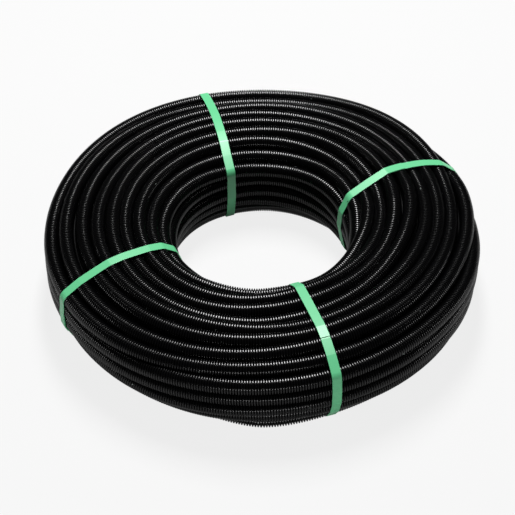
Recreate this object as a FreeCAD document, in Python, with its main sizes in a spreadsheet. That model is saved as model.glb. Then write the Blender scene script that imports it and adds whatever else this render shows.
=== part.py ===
import FreeCAD, Part

# A coil of 20 mm corrugated conduit, tied with four plastic straps.
#
# The conduit is one long blow-moulded plastic tube, wound in nine layers of five or
# six turns and sold as a tied coil. It is modelled as one turned solid with its bore:
# every turn that lies on the outside of the winding shows as a round bead. The
# corrugations themselves are finer than this model goes. Each strap is a flat plastic
# band, pulled tight round the winding and welded where its two ends lap.
#
# Lengths are millimetres. The coil lies flat: +Z is its axis and points up, and the
# origin is the centre of the coil on the surface that it lies on.

import math
import os

import Sketcher
from FreeCAD import Placement, Rotation, Vector

# Driving dimensions: name, size, meaning
SIZES = [
    ("conduit_od", 20.0, "conduit diameter over the corrugations"),
    ("nesting", 0.8, "how deep the corrugations of touching turns sink into each other"),
    ("bore_diameter", 222.0, "free diameter inside the innermost turns"),
    ("crown_bend_angle", 6.0, "degrees that the domed top bends at each turn"),
    ("corner_bend_angle", 22.5, "degrees that the rounded bottom corners bend at each turn"),
    ("strap_width", 12.0, "width of the strap band"),
    ("strap_thickness", 0.8, "thickness of the strap band"),
    ("strap_clearance", 0.2, "room between a strap and the turns under it"),
    ("lap_margin", 5.0, "how far a lap runs past the two bends that it covers"),
    ("lap_ramp", 6.0, "length over which the strap comes down past its buried end"),
    ("strap_front_angle", -71.0, "place of the front strap round the coil in degrees"),
    ("strap_right_angle", 26.5, "place of the right strap round the coil in degrees"),
    ("strap_back_angle", 108.5, "place of the back strap round the coil in degrees"),
    ("strap_left_angle", 205.5, "place of the left strap round the coil in degrees"),
]

# Turns across the domed top, and steps from turn to turn down a wall, round a bottom
# corner and across the bottom
TOP_TURNS = 9
WALL_STEPS = 2
CORNER_STEPS = 3
BOTTOM_STEPS = TOP_TURNS - 5

# The two bends of each strap that lie under its lap, counted clockwise from the turn
# beside the bore. The back and left straps are welded on the outer wall.
LAPS = {
    "strap_front": (4, 5),
    "strap_right": (3, 4),
    "strap_back": (TOP_TURNS - 1, TOP_TURNS),
    "strap_left": (TOP_TURNS - 1, TOP_TURNS),
}

doc = FreeCAD.newDocument("conduit_coil")
sheet = doc.addObject("Spreadsheet::Sheet", "sizes")
for row, (alias, size, meaning) in enumerate(SIZES, start=1):
    sheet.set(f"A{row}", meaning)
    sheet.set(f"B{row}", str(size))
    sheet.setAlias(f"B{row}", alias)
doc.recompute()

# Formulas that the sketches share, written in the sheet's own names
STEP = "(sizes.conduit_od - sizes.nesting)"
BEAD_RADIUS = "sizes.conduit_od / 2"
STRAP_INSIDE = "sizes.conduit_od / 2 + sizes.strap_clearance"
STRAP_OUTSIDE = f"{STRAP_INSIDE} + sizes.strap_thickness"
LAP_OUTSIDE = f"{STRAP_OUTSIDE} + sizes.strap_thickness"
FIRST_TURN_RADIUS = "sizes.bore_diameter / 2 + sizes.conduit_od / 2"


def crown_slope(step):
    """The slope of the domed top on its way from turn number step to the next."""
    return f"({(TOP_TURNS - 2) / 2 - step} * sizes.crown_bend_angle * 1deg)"


def corner_slope(step):
    """The slope of a bottom corner, counted from the level bottom upwards."""
    return f"({step} * sizes.corner_bend_angle * 1deg)"


CROWN_RUN = " + ".join(f"cos({crown_slope(i)})" for i in range(TOP_TURNS - 1))
CORNER_RUN = " + ".join(f"cos({corner_slope(i + 1)})" for i in range(CORNER_STEPS))
CORNER_RISE = " + ".join(f"sin({corner_slope(i + 1)})" for i in range(CORNER_STEPS))
BOTTOM_STEP = f"{STEP} * ({CROWN_RUN} - 2 * ({CORNER_RUN})) / {BOTTOM_STEPS}"
FIRST_TURN_HEIGHT = f"{STRAP_OUTSIDE} + {STEP} * ({CORNER_RISE} + {WALL_STEPS})"

# The outline of the winding as straight stretches of turns, clockwise from the top turn
# beside the bore: steps in the stretch, run of a step, rise of a step. None stands for
# no run or no rise. The strap bends where one stretch meets the next.
CROWN = [
    (1, f"{STEP} * cos({crown_slope(i)})", f"{STEP} * sin({crown_slope(i)})")
    for i in range(TOP_TURNS - 1)
]
CORNER = [
    (1, f"-{STEP} * cos({corner_slope(i + 1)})", f"{STEP} * sin({corner_slope(i + 1)})")
    for i in range(CORNER_STEPS)
]
STRETCHES = (
    CROWN
    + [(WALL_STEPS, None, f"-{STEP}")]
    + [(count, run, f"-{rise}") for count, run, rise in reversed(CORNER)]
    + [(BOTTOM_STEPS, f"-({BOTTOM_STEP})", None)]
    + CORNER
    + [(WALL_STEPS, None, STEP)]
)


def value(text):
    """What a formula comes to with the sheet's present sizes."""
    return float(sheet.evalExpression(text))


def new_body(name):
    """A body, and a sketch on its own upright plane.

    The sketch's x is the distance from the coil's axis and its y is the height.
    """
    body = doc.addObject("PartDesign::Body", name)
    body.Label = name
    body.Placement = Placement(Vector(0, 0, 0), Rotation(Vector(0, 0, 1), 0))
    sketch = body.newObject("Sketcher::SketchObject", f"{name}_section")
    plane = next(f for f in body.Origin.OriginFeatures if f.Role == "XZ_Plane")
    sketch.AttachmentSupport = [(plane, "")]
    sketch.MapMode = "FlatFace"
    return body, sketch


def bind(sketch, kind, places, text):
    """Adds a dimension tied to a formula; a negative one is measured backwards."""
    size = value(text)
    if size < 0:
        places = places[2:] + places[:2]
        text = f"-({text})"
    index = sketch.addConstraint(Sketcher.Constraint(kind, *places, abs(size)))
    sketch.setExpression(f"Constraints[{index}]", text)


def bind_centres(sketch, centres, steps):
    """Places the first centre from the origin and each later one from the one before."""
    origin = (-1, 1)
    bind(sketch, "DistanceX", (*origin, *centres[0]), FIRST_TURN_RADIUS)
    bind(sketch, "DistanceY", (*origin, *centres[0]), FIRST_TURN_HEIGHT)
    for before, after, (run, rise) in zip(centres, centres[1:], steps):
        if run is None:
            sketch.addConstraint(Sketcher.Constraint("Vertical", *before, *after))
        else:
            bind(sketch, "DistanceX", (*before, *after), run)
        if rise is None:
            sketch.addConstraint(Sketcher.Constraint("Horizontal", *before, *after))
        else:
            bind(sketch, "DistanceY", (*before, *after), rise)


def walk(steps):
    """The points that the steps lead to, starting at the top turn beside the bore."""
    points = [(value(FIRST_TURN_RADIUS), value(FIRST_TURN_HEIGHT))]
    for run, rise in steps[:-1]:
        x, y = points[-1]
        points.append((x + (value(run) if run else 0.0), y + (value(rise) if rise else 0.0)))
    return points


def times(count, text):
    """A step's formula multiplied by a count."""
    return text and f"{count} * ({text})"


def add_arc(sketch, centre, radius, start, end):
    """An arc that runs counter-clockwise from one angle to the other, in radians."""
    circle = Part.Circle(Vector(*centre, 0), Vector(0, 0, 1), radius)
    return sketch.addGeometry(Part.ArcOfCircle(circle, start, end), False)


def build_coil():
    """The whole winding: a ring turned round the coil's axis, beaded all over."""
    body, sketch = new_body("conduit_coil")
    steps = [(run, rise) for count, run, rise in STRETCHES for _ in range(count)]
    points = walk(steps)
    radius = value(BEAD_RADIUS)
    arcs = []
    for index, (x, y) in enumerate(points):
        (x_before, y_before) = points[index - 1]
        (x_after, y_after) = points[(index + 1) % len(points)]
        half_before = math.acos(math.hypot(x_before - x, y_before - y) / 2 / radius)
        half_after = math.acos(math.hypot(x_after - x, y_after - y) / 2 / radius)
        start = math.atan2(y_after - y, x_after - x) + half_after
        end = math.atan2(y_before - y, x_before - x) - half_before
        if end < start:
            end += 2 * math.pi
        arcs.append(add_arc(sketch, (x, y), radius, start, end))
    for arc, following in zip(arcs, arcs[1:] + arcs[:1]):
        sketch.addConstraint(Sketcher.Constraint("Coincident", arc, 1, following, 2))
    bind(sketch, "Radius", (arcs[0],), BEAD_RADIUS)
    for arc in arcs[1:]:
        sketch.addConstraint(Sketcher.Constraint("Equal", arcs[0], arc))
    bind_centres(sketch, [(arc, 3) for arc in arcs], steps)
    turned = body.newObject("PartDesign::Revolution", "winding")
    turned.Profile = sketch
    turned.ReferenceAxis = (sketch, ["V_Axis"])
    turned.Angle = 360.0
    sketch.Visibility = False
    return body, sketch


def normals(points):
    """The outward direction of the stretch that follows each point."""
    result = []
    for (x, y), (x_after, y_after) in zip(points, points[1:] + points[:1]):
        length = math.hypot(x_after - x, y_after - y)
        result.append((-(y_after - y) / length, (x_after - x) / length))
    return result


def add_bends(sketch, points, radii):
    """An arc round every point, between its two stretches' outward directions."""
    outward = normals(points)
    arcs = []
    for index, (point, radius) in enumerate(zip(points, radii)):
        start = math.atan2(outward[index][1], outward[index][0])
        end = math.atan2(outward[index - 1][1], outward[index - 1][0])
        if end < start:
            end += 2 * math.pi
        arcs.append(add_arc(sketch, point, radius, start, end))
    return arcs


def add_line(sketch, start, end):
    """A straight edge between two points."""
    return sketch.addGeometry(Part.LineSegment(Vector(*start, 0), Vector(*end, 0)), False)


def along(stretch, distance, lift):
    """The point that lies a distance along a stretch, lifted off it by an amount."""
    start, end, outward = stretch
    share = distance / math.dist(start, end)
    return tuple(a + (b - a) * share + lift * n for a, b, n in zip(start, end, outward))


def add_edge(sketch, stretch, begin, end, lift):
    """A straight edge over a stretch, from one distance along it to another."""
    return add_line(sketch, along(stretch, begin, lift), along(stretch, end, lift))


def add_link(sketch, first, second):
    """A straight edge from the end of one edge to the start of another."""
    ends = sketch.Geometry[first].EndPoint, sketch.Geometry[second].StartPoint
    link = sketch.addGeometry(Part.LineSegment(*ends), False)
    sketch.addConstraint(Sketcher.Constraint("Coincident", first, 2, link, 1))
    sketch.addConstraint(Sketcher.Constraint("Coincident", link, 2, second, 1))
    return link


def leave_bend(sketch, bend, edge):
    """An edge runs on from a bend without a kink."""
    sketch.addConstraint(Sketcher.Constraint("Tangent", bend, 1, edge, 1))


def meet_bend(sketch, edge, bend):
    """An edge runs into a bend without a kink."""
    sketch.addConstraint(Sketcher.Constraint("Tangent", edge, 2, bend, 2))


def build_strap(name, lapped):
    """A band round the winding's section, thickened where its two ends lap."""
    body, sketch = new_body(name)
    body.setExpression("Placement.Rotation.Angle", f"sizes.{name}_angle * 1deg")
    steps = [(times(count, run), times(count, rise)) for count, run, rise in STRETCHES]
    points = walk(steps)
    outward = normals(points)
    inside = value(STRAP_INSIDE)
    outside = value(STRAP_OUTSIDE)
    lap_outside = value(LAP_OUTSIDE)
    margin = value("sizes.lap_margin")
    ramp = value("sizes.lap_ramp")
    outer_radii = [lap_outside if index in lapped else outside for index in range(len(points))]

    inner = add_bends(sketch, points, [inside] * len(points))
    outer = add_bends(sketch, points, outer_radii)
    bind(sketch, "Radius", (inner[0],), STRAP_INSIDE)
    bind(sketch, "Radius", (outer[0],), STRAP_OUTSIDE)
    for index in range(1, len(points)):
        sketch.addConstraint(Sketcher.Constraint("Equal", inner[0], inner[index]))
        if index not in lapped:
            sketch.addConstraint(Sketcher.Constraint("Equal", outer[0], outer[index]))
    for index in lapped:
        bind(sketch, "Radius", (outer[index],), LAP_OUTSIDE)
    for inner_arc, outer_arc in zip(inner, outer):
        sketch.addConstraint(Sketcher.Constraint("Coincident", inner_arc, 3, outer_arc, 3))
    bind_centres(sketch, [(arc, 3) for arc in inner], steps)

    for index, point in enumerate(points):
        after = (index + 1) % len(points)
        stretch = (point, points[after], outward[index])
        length = math.dist(point, points[after])
        under = add_edge(sketch, stretch, 0, length, inside)
        leave_bend(sketch, inner[index], under)
        meet_bend(sketch, under, inner[after])
        if index == lapped[0] - 1:
            # The band rises over its buried end
            single = add_edge(sketch, stretch, 0, length - margin - ramp, outside)
            double = add_edge(sketch, stretch, length - margin, length, lap_outside)
            slope = add_link(sketch, single, double)
            leave_bend(sketch, outer[index], single)
            meet_bend(sketch, double, outer[after])
            sketch.addConstraint(Sketcher.Constraint("Parallel", under, single))
            sketch.addConstraint(Sketcher.Constraint("Parallel", under, double))
            bind(sketch, "Distance", (double,), "sizes.lap_margin")
            bind(sketch, "Distance", (slope,), "sizes.lap_ramp")
        elif index == lapped[-1]:
            # The outer end is cut off square
            double = add_edge(sketch, stretch, 0, margin, lap_outside)
            single = add_edge(sketch, stretch, margin, length, outside)
            cut_end = add_link(sketch, double, single)
            leave_bend(sketch, outer[index], double)
            meet_bend(sketch, single, outer[after])
            sketch.addConstraint(Sketcher.Constraint("Parallel", under, double))
            sketch.addConstraint(Sketcher.Constraint("Parallel", under, single))
            sketch.addConstraint(Sketcher.Constraint("Perpendicular", under, cut_end))
            bind(sketch, "Distance", (double,), "sizes.lap_margin")
        else:
            over = add_edge(sketch, stretch, 0, length, outer_radii[index])
            leave_bend(sketch, outer[index], over)
            meet_bend(sketch, over, outer[after])

    band = body.newObject("PartDesign::Pad", "band")
    band.Profile = sketch
    band.setExpression("Length", "sizes.strap_width")
    band.Midplane = True
    sketch.Visibility = False
    return body, sketch


built = [build_coil()]
built += [build_strap(name, lapped) for name, lapped in LAPS.items()]
doc.recompute()

for body, sketch in built:
    if not sketch.FullyConstrained:
        raise RuntimeError(f"the section of {body.Label} is not fully constrained")
for thing in doc.Objects:
    if "Invalid" in thing.State or "Error" in thing.State:
        raise RuntimeError(f"{thing.Label} did not compute")
os.makedirs("parts", exist_ok=True)
for body, _ in built:
    if body.Shape.isNull() or not body.Shape.isValid() or len(body.Shape.Solids) != 1:
        raise RuntimeError(f"{body.Label} is not one valid solid")
    body.Shape.exportStep(f"parts/{body.Label}.step")
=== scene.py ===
import math

import bpy
import numpy as np
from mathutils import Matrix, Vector


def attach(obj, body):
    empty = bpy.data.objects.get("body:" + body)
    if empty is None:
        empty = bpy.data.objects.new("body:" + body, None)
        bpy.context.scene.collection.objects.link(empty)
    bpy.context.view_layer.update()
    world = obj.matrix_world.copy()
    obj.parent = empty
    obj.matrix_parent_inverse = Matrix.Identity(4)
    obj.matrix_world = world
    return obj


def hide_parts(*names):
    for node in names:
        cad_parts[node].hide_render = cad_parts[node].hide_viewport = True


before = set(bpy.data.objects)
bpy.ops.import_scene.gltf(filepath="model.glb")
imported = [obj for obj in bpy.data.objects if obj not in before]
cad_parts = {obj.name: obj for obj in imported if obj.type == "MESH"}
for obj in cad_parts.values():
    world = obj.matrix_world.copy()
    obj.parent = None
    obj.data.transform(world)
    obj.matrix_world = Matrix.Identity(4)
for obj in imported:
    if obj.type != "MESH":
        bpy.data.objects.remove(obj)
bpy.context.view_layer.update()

# The conduit. Black corrugated plastic tube, extruded and moulded in one length and wound into
# a coil. The turns at the coil's surface are one unbroken winding: round after round it moves on
# by one turn, over the top, down the outside, back under the coil and up the bore.
MM = 0.001
CREST_RADIUS = 10.0
ROOT_RADIUS = 7.8
PITCH = 3.15
TURN_STEP = 19.2
BORE_TURN = 121.0
LOWEST_TURN = 11.0
CROWN_TURNS = 9
CROWN_BEND = 6.0
WALL_STEPS = 2
CORNER_BEND = 22.5
CORNER_STEPS = 3
BORE_CORNER = [5.0, 72.0, 77.3]
BOTTOM_STEPS = 4


def section_of_turns():
    """Even places of the surface turns as (radius, height), clockwise from the bore's top edge.

    Each turn is one turn step from the last, along a slope: the crown's slopes fall by one
    crown bend a step, the walls stand upright, and the outer corner turns by one corner bend a
    step. The bore's corner has its own slopes, because it is nearly square. The level steps
    across the bottom are as long as it takes to come back to the bore.
    """
    crown = CROWN_BEND * ((CROWN_TURNS - 2) / 2 - np.arange(CROWN_TURNS - 1))
    corner = CORNER_BEND * (1 + np.arange(CORNER_STEPS))
    walls = np.full(WALL_STEPS, -90.0)
    slopes = np.concatenate([crown, walls, -90 - corner, np.full(BOTTOM_STEPS, -180.0),
                             -180 - np.array(BORE_CORNER), walls - 180])
    level = slopes == -180.0
    steps = np.full(len(slopes), TURN_STEP)
    steps[level] = TURN_STEP * np.cos(np.radians(slopes[~level])).sum() / BOTTOM_STEPS
    moves = steps[:, None] * np.stack([np.cos(np.radians(slopes)), np.sin(np.radians(slopes))], -1)
    places = np.concatenate([[[0, 0]], np.cumsum(moves, axis=0)])[:-1]
    return places + [BORE_TURN, LOWEST_TURN - places[:, 1].min()]


section = section_of_turns()
TURNS = len(section)
# Turn steps by which the winding has moved on at eight places round the coil, an eighth of a
# round apart, from the left side through the front; a whole round adds up to one.
DRIFT = [1.0, 0.7, 0.0, -0.2, 0.6, 1.7, 2.0, 2.1]
# How far the crown's places lie off the even ones, outward and up, at four sides of the coil,
# each side named by its azimuth in degrees: front, back, left and right.
LOOSE_OUT = {
    -90: [2.7, 0.8, 1.5, 2.2, 1.0, -1.7, -0.9, -0.4, -1.1],
    90: [-0.8, -0.5, 0.3, 0.6, 1.1, -1.2, 0.0, -0.6, -1.0],
    180: [7.0, 3.0, 0.5, -1.0, -3.0, -5.0, -4.5, 0.0, 0.0],
    0: [6.0, 3.5, 0.0, -0.5, 3.0, 1.0, -2.0, -3.0, 0.0],
}
LOOSE_UP = {
    -90: [-2.8, 0.2, -2.2, -8.6, -2.8, 1.3, -0.2, 0.0, -2.0],
    90: [-3.5, -2.2, 0.1, 0.2, -0.5, -2.0, -0.2, -1.6, 4.6],
    180: [-1.0, 0.0, 1.0, -2.0, 0.0, 1.0, -2.0, 0.0, 0.0],
    0: [0.0, 0.0, -2.0, 1.0, 0.0, -3.0, 1.0, 0.0, -1.0],
}
LOOSE_POWER = 4
# Shorter stretches where some places lie further off: azimuth, power (the higher, the shorter),
# places, and how far outward and up each of them goes. The first turn is pulled into the bore
# right of the front, the lowest turns sag at the front, and the outermost ones ride up at the
# two back quarters.
STRAYS = [
    (-71.0, 28, [-1, 0, 1, 2], [0.0, -4.5, -1.0, 0.0], [0.0, 4.1, 1.0, 0.0]),
    (-90.0, 45, [10, 11, 12, 13], [0.0, 1.0, 6.0, 0.0], [0.0, -1.0, -7.0, 0.0]),
    (43.0, 14, [5, 6, 7, 8, 9, 10, 11], [0.0] * 7, [0.0, 2.0, 5.0, 9.0, 6.0, 3.0, 0.0]),
    (140.0, 14, [5, 6, 7, 8, 9, 10, 11], [0.0] * 7, [0.0, 2.0, 5.0, 9.0, 6.0, 3.0, 0.0]),
]
# The winding's own slow waves: how many there are in all its rounds, and how high they are.
WAVE_COUNTS = np.array([37, 53, 71, 94])
WAVE_HEIGHT = 0.8
# How far a turn may reach into the bore.
BORE_ROOM = 1.0


def turn_centre(travel):
    """The winding's centre line and its facing direction after some travel, in rounds.

    The travel plus the drift, a sum of waves through the eight values, gives a place on the
    smooth closed curve through the even places. The offsets of each side and each stray
    stretch, times a power of (1 + the cosine of the angle from it) / 2, and the winding's own
    waves are added to its radius and height.
    """
    azimuth = 2 * math.pi * travel - math.pi
    eighths = np.fft.rfft(np.array(DRIFT) - np.arange(8) / 8) / 8
    order = np.arange(1, 5)
    weight = np.array([2, 2, 2, 1]) * eighths[1:]
    waves = (weight * np.exp(2j * math.pi * order * travel[..., None])).real.sum(-1)
    place = travel + eighths[0].real + waves
    whole = np.floor(place).astype(int)
    part = (place - whole)[..., None]
    before, start, end, after = (section[(whole + k) % TURNS] for k in (-1, 0, 1, 2))
    centre = start + part / 2 * (end - before + part * (2 * before - 5 * start + 4 * end - after
                                 + part * (3 * start - before - 3 * end + after)))
    run = (end - before) * (1 - part) + (after - start) * part
    facing = np.arctan2(run[..., 0], -run[..., 1])
    spot = (place + 1) % TURNS - 1
    crown = np.arange(-1, CROWN_TURNS + 1)
    loose = [(side, LOOSE_POWER, crown, [0] + LOOSE_OUT[side] + [0], [0] + LOOSE_UP[side] + [0])
             for side in LOOSE_OUT]
    for side, power, places, out, up in loose + STRAYS:
        near = ((1 + np.cos(azimuth - math.radians(side))) / 2) ** power
        centre[..., 0] += near * np.interp(spot, places, out)
        centre[..., 1] += near * np.interp(spot, places, up)
    turned = 2 * math.pi * travel[..., None] * WAVE_COUNTS / TURNS
    centre[..., 0] += WAVE_HEIGHT * np.sin(turned + WAVE_COUNTS).sum(-1) / 2
    centre[..., 1] += WAVE_HEIGHT * np.cos(turned + 2 * WAVE_COUNTS).sum(-1) / 2
    lowest = [BORE_TURN - BORE_ROOM, LOWEST_TURN]
    return np.clip(centre, lowest, section.max(0)), facing, azimuth


# Points round the tube lie evenly over this half arc in degrees about the side that faces out
# of the coil, and two more close the side that doesn't show. The winding's length is measured
# in fine steps, so many a round.
SHOWN_ARC = 105.0
BACK_POINTS = [155.0, 205.0]
FINE_STEPS = 720


def corrugated_turns(first, last, profile, segments):
    """A corrugated tube along some rounds: points, four-cornered faces and a normal per corner.

    A point is the centre line's point plus the profile's radius times a direction square to the
    tube. The profile (share of the pitch, radius, lean of the normal along the tube in degrees
    just before and just after) repeats once a pitch, by length along the tube. Both ends are
    closed.
    """
    shown = np.linspace(-SHOWN_ARC, SHOWN_ARC, segments - len(BACK_POINTS))
    around = np.radians(np.concatenate([shown, BACK_POINTS]))
    share, radius, before, after = np.array(profile).T
    fine = np.linspace(first, last, FINE_STEPS * (last - first) + 1)
    centre, facing, azimuth = turn_centre(fine)
    out, up = centre.T
    line = np.stack([out * np.cos(azimuth), out * np.sin(azimuth), up], -1)
    length = np.concatenate([[0], np.cumsum(np.linalg.norm(np.diff(line, axis=0), axis=1))])
    count = round(length[-1] / PITCH)
    ring = (np.arange(count)[:, None] + 0.5 + share).ravel() / count * length[-1]
    ring = np.concatenate([[0], ring, length[-1:]])
    size = np.concatenate([radius[-1:], np.tile(radius, count), radius[-1:]])[:, None, None]
    tilts = [np.radians(np.concatenate([[0], np.tile(lean, count), [0]]))[:, None, None]
             for lean in (before, after)]
    travel = np.interp(ring, length, fine)
    centre, facing, azimuth = turn_centre(travel)
    c, s = np.cos(azimuth), np.sin(azimuth)
    line = np.stack([centre[:, 0] * c, centre[:, 0] * s, centre[:, 1]], -1)
    forward = np.gradient(line, axis=0)
    forward /= np.linalg.norm(forward, axis=1)[:, None]
    outward = np.stack([np.cos(facing) * c, np.cos(facing) * s, np.sin(facing)], -1)
    outward -= (outward * forward).sum(1)[:, None] * forward
    outward /= np.linalg.norm(outward, axis=1)[:, None]
    aside = np.cross(forward, outward)
    direction = (np.cos(around)[None, :, None] * outward[:, None]
                 + np.sin(around)[None, :, None] * aside[:, None])
    points = line[:, None] + size * direction
    before, after = (np.cos(tilt) * direction + np.sin(tilt) * forward[:, None] for tilt in tilts)
    i, j = np.meshgrid(np.arange(len(ring) - 1), np.arange(segments), indexing="ij")
    j2 = (j + 1) % segments
    corners = [i * segments + j, i * segments + j2, (i + 1) * segments + j2, (i + 1) * segments + j]
    normals = np.stack([after[i, j], after[i, j2], before[i + 1, j2], before[i + 1, j]], 2)
    k = np.arange(segments // 2 - 1)
    cap = np.stack([k, segments - 1 - k, segments - 2 - k, k + 1], -1)
    end_cap = cap[:, ::-1] + (len(ring) - 1) * segments
    faces = np.concatenate([np.stack(corners, -1).reshape(-1, 4), cap, end_cap])
    cap_normals = [np.repeat(-forward[:1], cap.size, 0), np.repeat(forward[-1:], cap.size, 0)]
    return points.reshape(-1, 3), faces, np.concatenate([normals.reshape(-1, 3), *cap_normals])


def mesh_piece(name, points, faces, normals=None):
    """A smooth mesh from points in millimetres, four-cornered faces and a normal per corner."""
    mesh = bpy.data.meshes.new(name)
    mesh.vertices.add(len(points))
    mesh.vertices.foreach_set("co", (points * MM).astype(np.float32).ravel())
    mesh.loops.add(4 * len(faces))
    mesh.loops.foreach_set("vertex_index", faces.astype(np.int32).ravel())
    mesh.polygons.add(len(faces))
    mesh.polygons.foreach_set("loop_start", np.arange(0, 4 * len(faces), 4, dtype=np.int32))
    mesh.polygons.foreach_set("use_smooth", np.ones(len(faces), bool))
    mesh.update(calc_edges=True)
    if normals is not None:
        mesh.normals_split_custom_set(normals)
    piece = bpy.data.objects.new(name, mesh)
    bpy.context.scene.collection.objects.link(piece)
    return piece


def linear(hex_colour):
    """An sRGB hex colour as the linear RGBA that a shader socket takes."""
    parts = [int(hex_colour[i:i + 2], 16) / 255 for i in (1, 3, 5)]
    return [c / 12.92 if c <= 0.04045 else ((c + 0.055) / 1.055) ** 2.4 for c in parts] + [1.0]


def node(tree, kind, **inputs):
    """Adds a shader node; a keyword that is a socket's name sets it, or links a socket to it."""
    made = tree.nodes.new(kind)
    for name, value in inputs.items():
        name = name.replace("_", " ")
        if name not in made.inputs:
            setattr(made, name.replace(" ", "_"), value)
        elif isinstance(value, bpy.types.NodeSocket):
            tree.links.new(value, made.inputs[name])
        else:
            made.inputs[name].default_value = value
    return made


def new_material(name):
    """An empty material and its node tree."""
    material = bpy.data.materials.new(name)
    material.use_nodes = True
    material.node_tree.nodes.clear()
    return material, material.node_tree


# Black polyethylene, moulded against a polished corrugator: almost no colour of its own, a soft
# shine with a sharp one over it that lights each crest as a short bright tick, gloss that
# varies in patches about 6 mm across, and a few pale specks of dust. The specks are drawn about
# 1.6 mm across, coarser than real dust, so that they show.
FILM_PER_METRE = 160.0
PALE_SPECKS_PER_METRE = 110.0
PALE_SPECK_RADIUS = 0.09
PALE_SPECK_RARITY = 0.82
black, tree = new_material("black glossy moulded polyethylene")
where = node(tree, "ShaderNodeTexCoord").outputs["Object"]
film = node(tree, "ShaderNodeTexNoise", Vector=where, Scale=FILM_PER_METRE, Detail=3.0)
gloss = node(tree, "ShaderNodeMapRange", Value=film.outputs["Fac"], To_Min=0.28, To_Max=0.3)
# Pale specks: a small pale spot of base colour in a few of these cells, at random places.
cell = node(tree, "ShaderNodeTexVoronoi", Vector=where, Scale=PALE_SPECKS_PER_METRE)
speck = node(tree, "ShaderNodeMath", operation="LESS_THAN")
tree.links.new(cell.outputs["Distance"], speck.inputs[0])
speck.inputs[1].default_value = PALE_SPECK_RADIUS
rare = node(tree, "ShaderNodeMath", operation="GREATER_THAN")
tree.links.new(cell.outputs["Color"], rare.inputs[0])
rare.inputs[1].default_value = PALE_SPECK_RARITY
pale_specks = node(tree, "ShaderNodeMath", operation="MULTIPLY")
tree.links.new(speck.outputs[0], pale_specks.inputs[0])
tree.links.new(rare.outputs[0], pale_specks.inputs[1])
specked_colour = node(tree, "ShaderNodeMixRGB", Fac=pale_specks.outputs[0], Color1=linear("#040405"),
             Color2=linear("#96a09c"))
plastic = node(tree, "ShaderNodeBsdfPrincipled", Base_Color=specked_colour.outputs["Color"],
               Roughness=gloss.outputs["Result"], IOR=1.5, Specular_IOR_Level=0.14,
               Coat_Weight=0.37, Coat_Roughness=0.12, Coat_IOR=1.5)
node(tree, "ShaderNodeOutputMaterial", Surface=plastic.outputs["BSDF"])

# One pitch of the tube: a flat crest with crisp edges and steep flanks down to a narrow root.
# The underside, which nothing shows, has one point less.
SHOWN = [
    (-0.2, CREST_RADIUS, -50, -5),
    (0.2, CREST_RADIUS, 5, 50),
    (0.43, ROOT_RADIUS, 65, 65),
    (0.57, ROOT_RADIUS, -65, -65),
]
UNDERNEATH = [
    (-0.24, CREST_RADIUS, -15, -15),
    (0.24, CREST_RADIUS, 15, 15),
    (0.5, ROOT_RADIUS, 0, 0),
]
rounds = {
    "conduit_crown_inner": (-2, 2, SHOWN, 12),
    "conduit_crown_middle": (2, 6, SHOWN, 12),
    "conduit_crown_outer": (6, 9, SHOWN, 12),
    "conduit_outer_wall": (9, 13, SHOWN, 12),
    "conduit_underside": (13, 17, UNDERNEATH, 8),
    "conduit_bore_wall": (17, 20, SHOWN, 12),
}
for name, (first, last, profile, segments) in rounds.items():
    piece = mesh_piece(name, *corrugated_turns(first, last, profile, segments))
    piece.data.materials.append(black)
    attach(piece, "root")
    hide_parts("conduit_coil")

# The turns inside the coil. They don't show, so one plain dark ring stands for them behind the
# gaps between the surface turns.
RING_DEPTH = 7.0
RING_STEPS = 96


def swept_ring(out, up, steps):
    """A closed ring: a closed outline of (radius, height) carried round the coil's axis."""
    turn = np.linspace(0, 2 * math.pi, steps, endpoint=False)[:, None]
    points = np.stack([out * np.cos(turn), out * np.sin(turn), up + 0 * turn], -1)
    i, j = np.meshgrid(np.arange(steps), np.arange(len(out)), indexing="ij")
    i2, j2 = (i + 1) % steps, (j + 1) % len(out)
    corners = [i * len(out) + j, i * len(out) + j2, i2 * len(out) + j2, i2 * len(out) + j]
    return points.reshape(-1, 3), np.stack(corners, -1).reshape(-1, 4)


# The same plastic in deep shade: dull, with a faint unevenness 5 mm across.
SHADE_PER_METRE = 200.0
shaded, tree = new_material("black plastic deep between the turns")
where = node(tree, "ShaderNodeTexCoord").outputs["Object"]
uneven = node(tree, "ShaderNodeTexNoise", Vector=where, Scale=SHADE_PER_METRE)
dull = node(tree, "ShaderNodeMapRange", Value=uneven.outputs["Fac"], To_Min=0.8, To_Max=0.95)
plastic = node(tree, "ShaderNodeBsdfPrincipled", Base_Color=linear("#050506"),
               Roughness=dull.outputs["Result"])
node(tree, "ShaderNodeOutputMaterial", Surface=plastic.outputs["BSDF"])

inward = section.mean(0) - section
outline = section + inward / np.linalg.norm(inward, axis=1)[:, None] * RING_DEPTH
inner_turns = swept_ring(outline[::-1, 0], outline[::-1, 1], RING_STEPS)
core = mesh_piece("conduit_inner_turns", *inner_turns)
core.data.materials.append(shaded)
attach(core, "root")
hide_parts("conduit_coil")

# The straps. Four flat bands of green embossed strapping, pulled tight round the coil, each
# with its ends lapped and welded.
STRAP_WIDTH = 12.0
STRAP_THICKNESS = 0.8
STRAP_EDGE = 0.3
STRAP_CLEARANCE = 0.15
LAP_RAMP = 8.0
BEND_STEP = 1.5


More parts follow.
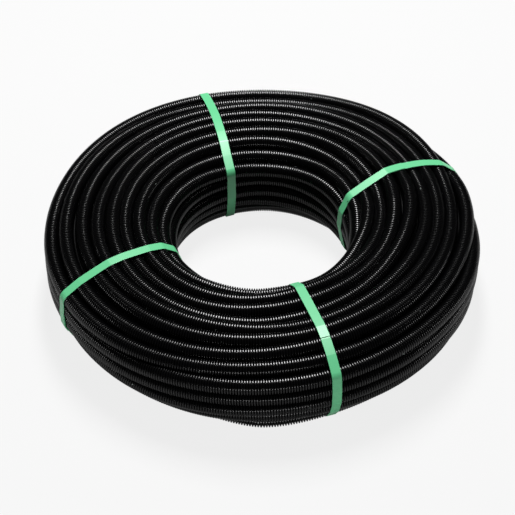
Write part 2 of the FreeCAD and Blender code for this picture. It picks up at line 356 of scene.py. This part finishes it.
def strap_path(azimuth, bow, end, lap):
    """Centre line of a band's underside, its outward direction and its lift over its own start.

    The band follows the hull of the turns' circles: for each outward direction the furthest
    circle carries it. Its top end lies at a length past the coil's outermost line, and it goes
    once round and on over its own start by the lap's length.
    """
    centres = turn_centre(np.arange(TURNS) + (azimuth + 180.0) % 360.0 / 360.0)[0]
    turn = np.arange(0, 3 * 360, BEND_STEP)
    angle = -np.radians(turn)
    outward = np.stack([np.cos(angle), np.sin(angle)], -1)
    carried = centres[(outward @ centres.T).argmax(1)]
    path = carried + (CREST_RADIUS + STRAP_CLEARANCE) * outward
    length = np.concatenate([[0], np.cumsum(np.linalg.norm(np.diff(path, axis=0), axis=1))])
    once = np.interp(360.0, turn, length)
    start = (end - lap) % once
    stop = start + once + lap
    keep = np.union1d(np.arange(start, stop, 1.0), length[(length > start) & (length < stop)])
    out, up = np.interp(keep, length, path[:, 0]), np.interp(keep, length, path[:, 1])
    nx, nz = np.interp(keep, length, outward[:, 0]), np.interp(keep, length, outward[:, 1])
    lift = STRAP_THICKNESS * np.clip((keep - start - once + LAP_RAMP) / LAP_RAMP, 0, 1)
    middle = section[:, 0].mean()
    share = (out - middle) / (section[:, 0].max() - middle)
    turned = np.radians(azimuth + bow[0] * share + bow[1] * share ** 2)
    return out, up, nx, nz, lift, turned


def strap_band(azimuth, bow, end, lap):
    """A flat band along its path: a rounded oblong of six points carried along, closed at the ends.

    A point is the path's point, plus its lift and its height in the oblong along the outward
    direction, plus its place across the width along the direction round the coil. The normals
    are square to the flat sides, so that only the thin edges look rounded.
    """
    out, up, nx, nz, lift, turned = strap_path(azimuth, bow, end, lap)
    half = STRAP_WIDTH / 2
    flat_half = half - STRAP_EDGE
    across = np.array([-flat_half, flat_half, half, flat_half, -flat_half, -half])
    height = np.array([0.0, 0.0, 0.5, 1.0, 1.0, 0.5]) * STRAP_THICKNESS
    reach = out[:, None] + nx[:, None] * (lift[:, None] + height)
    rise = up[:, None] + nz[:, None] * (lift[:, None] + height)
    c, s = np.cos(turned)[:, None], np.sin(turned)[:, None]
    points = np.stack([reach * c - across * s, reach * s + across * c, rise], -1)
    flat = np.array([-1.0, -1.0, 0.0, 1.0, 1.0, 0.0])
    aside = np.array([0.0, 0.0, 1.0, 0.0, 0.0, -1.0])
    normals = np.stack([flat * nx[:, None] * c - aside * s, flat * nx[:, None] * s + aside * c,
                        flat * nz[:, None]], -1)
    rows, around = points.shape[:2]
    i, j = np.meshgrid(np.arange(rows - 1), np.arange(around), indexing="ij")
    j2 = (j + 1) % around
    corners = [i * around + j, i * around + j2, (i + 1) * around + j2, (i + 1) * around + j]
    first_cap = np.array([[0, 5, 4, 1], [1, 4, 3, 2]])
    last_cap = np.array([[0, 1, 4, 5], [1, 2, 3, 4]]) + (rows - 1) * around
    faces = np.concatenate([np.stack(corners, -1).reshape(-1, 4), first_cap, last_cap])
    return points.reshape(-1, 3), faces, normals.reshape(-1, 3)[faces.ravel()]


# Green polypropylene strapping, stretched and rolled between embossed rollers: a satin face
# with a pale sheen where it faces the light. The embossed cells are drawn about 1.7 mm across,
# a little coarser than the real ones, so that they show.
EMBOSS_PER_METRE = 600.0
EMBOSS_DEPTH = 0.0002
green, tree = new_material("green embossed polypropylene strapping")
where = node(tree, "ShaderNodeTexCoord").outputs["Object"]
emboss = node(tree, "ShaderNodeTexVoronoi", Vector=where, Scale=EMBOSS_PER_METRE)
pressed = node(tree, "ShaderNodeBump", Height=emboss.outputs["Distance"], Strength=0.12,
               Distance=EMBOSS_DEPTH)
band = node(tree, "ShaderNodeBsdfPrincipled", Base_Color=linear("#68cd92"), Roughness=0.33,
            IOR=1.5, Normal=pressed.outputs["Normal"])
node(tree, "ShaderNodeOutputMaterial", Surface=band.outputs["BSDF"])

# Each strap's azimuth in degrees, how it leans and bows away from that across the coil, the
# length from the coil's outermost line to its top end, and the length of its lap.
straps = {
    "strap_front": (-70.5, (-0.9, -0.1), -91.0, 24.0),
    "strap_right": (27.0, (0.3, -4.0), -80.0, 26.0),
    "strap_back": (108.2, (-2.0, 1.3), 30.0, 30.0),
    "strap_left": (205.2, (3.5, -0.2), 30.0, 30.0),
}
for name, shape in straps.items():
    strap = mesh_piece(name + "_band", *strap_band(*shape))
    strap.data.materials.append(green)
    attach(strap, "root")
    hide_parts(name)

# The floor. A white studio floor that runs on past the picture and keeps the coil's shadow. For
# the camera it is mostly plain white, and for reflections partly.
FLOOR_SIZE = 30.0
WHITE_SHARES = {"Is Camera Ray": 0.83, "Is Glossy Ray": 0.2, "Is Transmission Ray": 0.83}
floor_paint, tree = new_material("white studio floor")
light_path = node(tree, "ShaderNodeLightPath")
white_share = None
for ray, ray_share in WHITE_SHARES.items():
    added = node(tree, "ShaderNodeMath", operation="MULTIPLY_ADD")
    tree.links.new(light_path.outputs[ray], added.inputs[0])
    added.inputs[1].default_value = ray_share
    added.inputs[2].default_value = 0.0
    if white_share:
        tree.links.new(white_share.outputs[0], added.inputs[2])
    white_share = added
paint = node(tree, "ShaderNodeBsdfDiffuse", Color=linear("#cfcfcf"))
backdrop = node(tree, "ShaderNodeEmission", Color=linear("#ffffff"), Strength=1.0)
mix = node(tree, "ShaderNodeMixShader", Fac=white_share.outputs[0])
tree.links.new(paint.outputs[0], mix.inputs[1])
tree.links.new(backdrop.outputs[0], mix.inputs[2])
node(tree, "ShaderNodeOutputMaterial", Surface=mix.outputs[0])
bpy.ops.mesh.primitive_plane_add(size=FLOOR_SIZE, location=(0, 0, 0))
floor = bpy.context.object
floor.name = "floor"
floor.data.materials.append(floor_paint)

# Light. A narrow, deep soft box overhead and a little behind, one dim soft box at each side, a
# wide low one far in front for the outer wall, and an even dim room.
ROOM_LIGHT = 0.04
LAMPS_AIM = Vector((0, 0, 0.05))
world = bpy.data.worlds.new("studio room")
bpy.context.scene.world = world
world.use_nodes = True
world.node_tree.nodes.clear()
room = node(world.node_tree, "ShaderNodeBackground", Color=linear("#ffffff"), Strength=ROOM_LIGHT)
node(world.node_tree, "ShaderNodeOutputWorld", Surface=room.outputs[0])


def soft_box(name, place, width, height, power):
    """A rectangular lamp at a place in metres, turned to face the coil."""
    light = bpy.data.lights.new(name, "AREA")
    light.shape = "RECTANGLE"
    light.size = width
    light.size_y = height
    light.energy = power
    lamp = bpy.data.objects.new(name, light)
    lamp.location = place
    lamp.rotation_euler = (LAMPS_AIM - Vector(place)).to_track_quat("-Z", "Y").to_euler()
    bpy.context.scene.collection.objects.link(lamp)


soft_box("top_box", (0.0, 0.86, 2.05), 0.42, 1.05, 60.0)
soft_box("left_box", (-1.7, 0.3, 1.7), 0.2, 0.2, 1.1)
soft_box("right_box", (1.7, 0.3, 1.7), 0.2, 0.2, 1.1)
soft_box("front_box", (0.0, -5.0, 0.25), 4.0, 0.3, 70.0)

# Camera. A long lens in front of the coil, looking down at it.
CAMERA_ELEVATION = math.radians(44.5)
CAMERA_DISTANCE = 1.9488
CAMERA_AIM = Vector((-0.0060, 0.0179, 0.0182))
lens = bpy.data.cameras.new("camera")
lens.sensor_width = 36.0
lens.lens = 102.33
camera = bpy.data.objects.new("camera", lens)
towards_camera = Vector((0.0, -math.cos(CAMERA_ELEVATION), math.sin(CAMERA_ELEVATION)))
camera.location = CAMERA_DISTANCE * towards_camera
camera.rotation_euler = (CAMERA_AIM - camera.location).to_track_quat("-Z", "Y").to_euler()
bpy.context.scene.collection.objects.link(camera)
bpy.context.scene.camera = camera
bpy.context.scene.view_settings.view_transform = "Standard"
